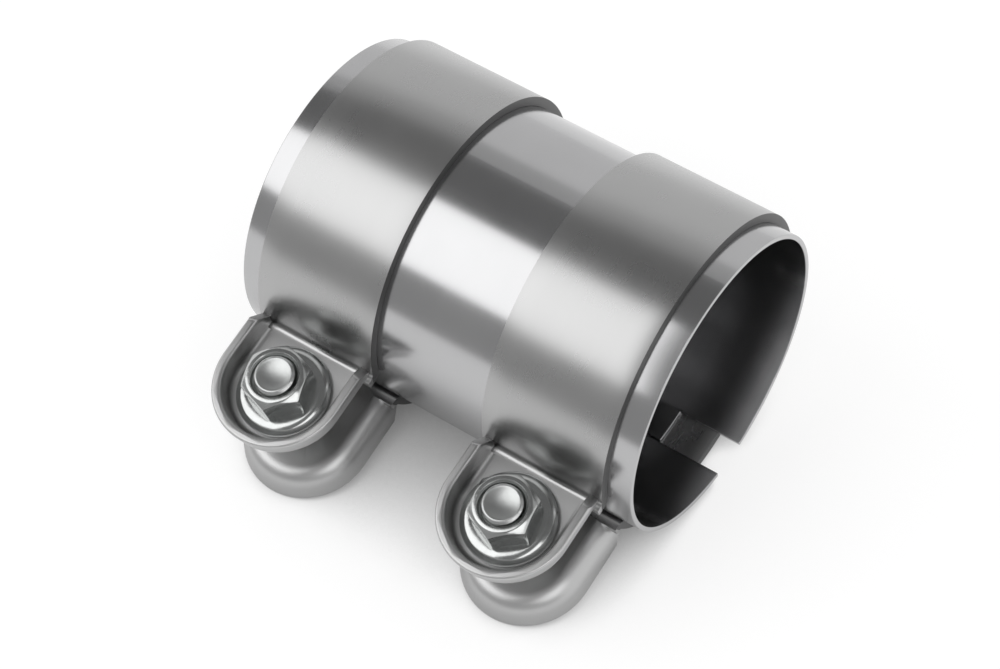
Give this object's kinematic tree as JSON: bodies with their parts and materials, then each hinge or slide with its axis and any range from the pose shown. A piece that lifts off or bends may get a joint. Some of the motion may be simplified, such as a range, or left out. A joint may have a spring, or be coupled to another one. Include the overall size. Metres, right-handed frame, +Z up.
{
  "type": "exhaust slip clamp",
  "caption": "Rolled steel sleeve with bolted bands that slips over the ends of exhaust pipes and clamps them in line.",
  "frame": {"origin": "on the sleeve's axis, at the middle of its length", "axes": "+X along the sleeve, +Z up, and the ears point towards -Y and downwards, as the clamp lies on its bands and lower rims"},
  "size_m": [0.104, 0.1057, 0.0774],
  "materials": {
    "sleeve_steel": "bright rolled sheet",
    "band_steel": "satin rolled strip",
    "zinc_plate": "bright zinc plate"
  },
  "bodies": {
    "clamp": {"sleeve": "sleeve_steel", "left_band": "band_steel", "right_band": "band_steel"},
    "left_bolt": {"left_bolt": "zinc_plate"},
    "left_nut": {"left_nut": "zinc_plate"},
    "right_bolt": {"right_bolt": "zinc_plate"},
    "right_nut": {"right_nut": "zinc_plate"}
  },
  "joints": [
    {"name": "left_bolt_turn", "type": "hinge", "parent": "clamp", "child": "left_bolt", "pos_m": [-0.0305, -0.0476, -0.01939], "axis": [0, 0.2947, -0.9556], "range_deg": [0, 2160]},
    {"name": "left_nut_travel", "type": "slide", "parent": "clamp", "child": "left_nut", "axis": [0, -0.2947, 0.9556], "range_m": [0, 0.00901]},
    {"name": "right_bolt_turn", "type": "hinge", "parent": "clamp", "child": "right_bolt", "pos_m": [0.0305, -0.0476, -0.01939], "axis": [0, 0.2947, -0.9556], "range_deg": [0, 2160]},
    {"name": "right_nut_travel", "type": "slide", "parent": "clamp", "child": "right_nut", "axis": [0, -0.2947, 0.9556], "range_m": [0, 0.00901]}
  ],
  "couplings": [
    {"joint": "left_nut_travel", "follows": "left_bolt_turn", "m_per_rad": 0.00023873},
    {"joint": "right_nut_travel", "follows": "right_bolt_turn", "m_per_rad": 0.00023873}
  ]
}
